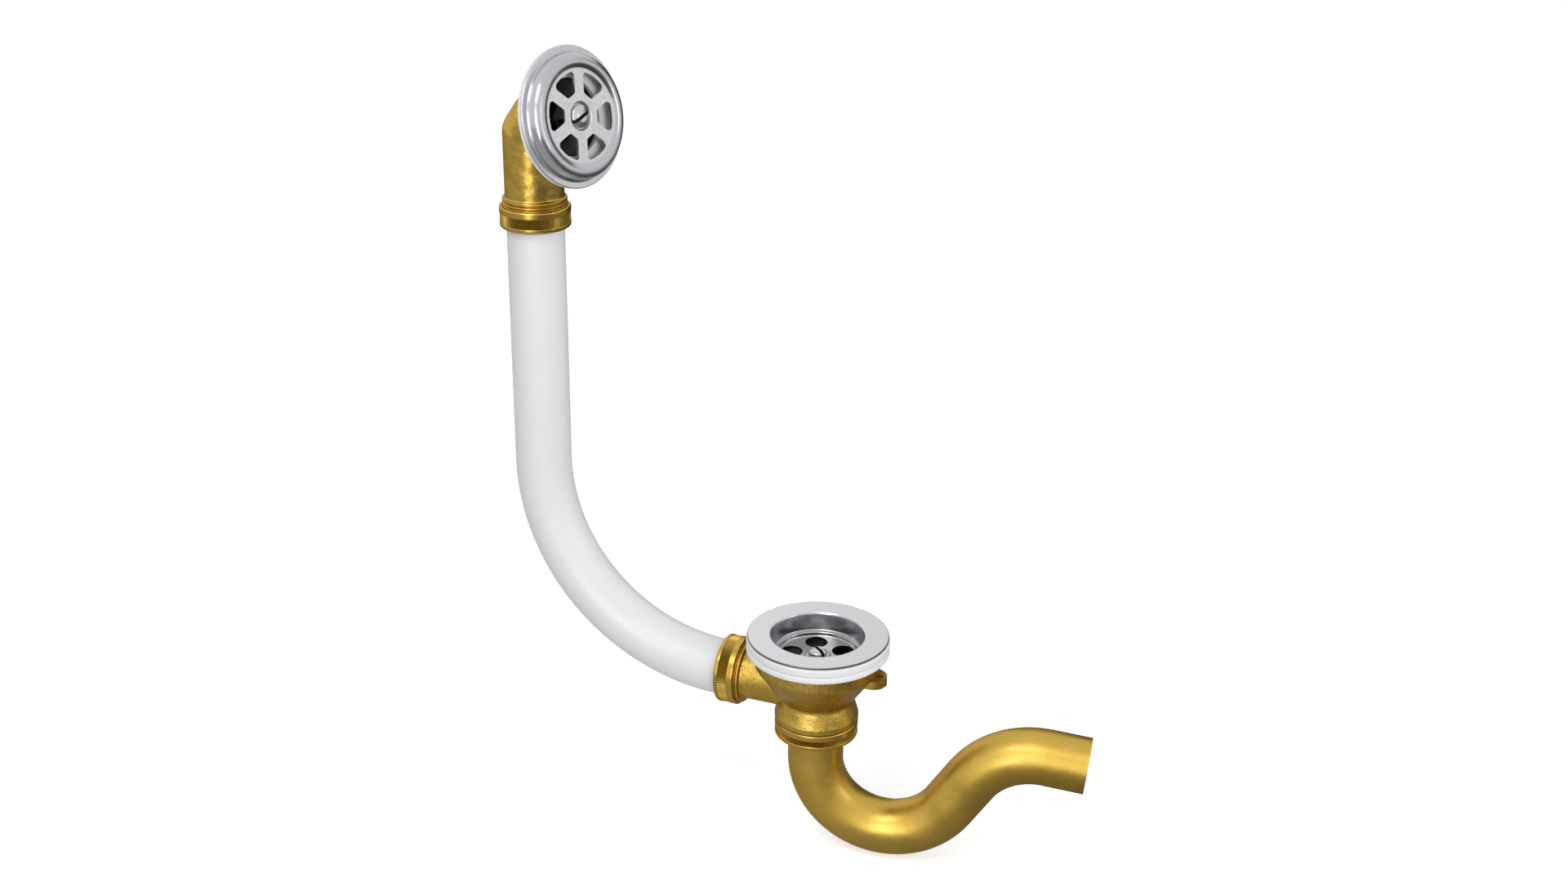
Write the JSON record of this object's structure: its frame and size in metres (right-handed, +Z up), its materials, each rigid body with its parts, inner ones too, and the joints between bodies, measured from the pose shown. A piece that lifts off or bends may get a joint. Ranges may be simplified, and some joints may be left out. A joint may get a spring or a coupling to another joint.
{
  "type": "bath trap",
  "caption": "Brass bath waste with a flanged strainer cup, a curved overflow pipe with a round grille plate, and an S-shaped outlet tube.",
  "frame": {"origin": "middle of the drain flange's top face", "axes": "+Z up out of the drain, +X from the overflow past the drain towards the trap's outlet"},
  "size_m": [0.3027, 0.0745, 0.3992],
  "materials": {
    "steel": "satin",
    "brass_cast": "satin",
    "brass_turned": "polished",
    "brass_tube": "satin",
    "white_pipe": "satin",
    "white_ring": "matte",
    "black_rubber": "matte"
  },
  "bodies": {
    "root": {"waste_flange": "steel", "waste_screw": "steel", "upper_ring": "white_ring", "lower_ring": "white_ring", "waste_body": "brass_cast", "trap_nut": "brass_turned", "trap_seal": "black_rubber", "trap_collar": "brass_turned", "trap_tube": "brass_tube", "branch_nut": "brass_turned", "branch_slip_ring": "brass_turned", "branch_seal": "black_rubber", "overflow_pipe": "white_pipe", "overflow_nut": "brass_turned", "overflow_slip_ring": "brass_turned", "overflow_seal": "black_rubber", "overflow_elbow": "brass_cast", "overflow_gasket": "white_ring", "overflow_plate": "steel", "overflow_screw": "steel"}
  },
  "joints": []
}
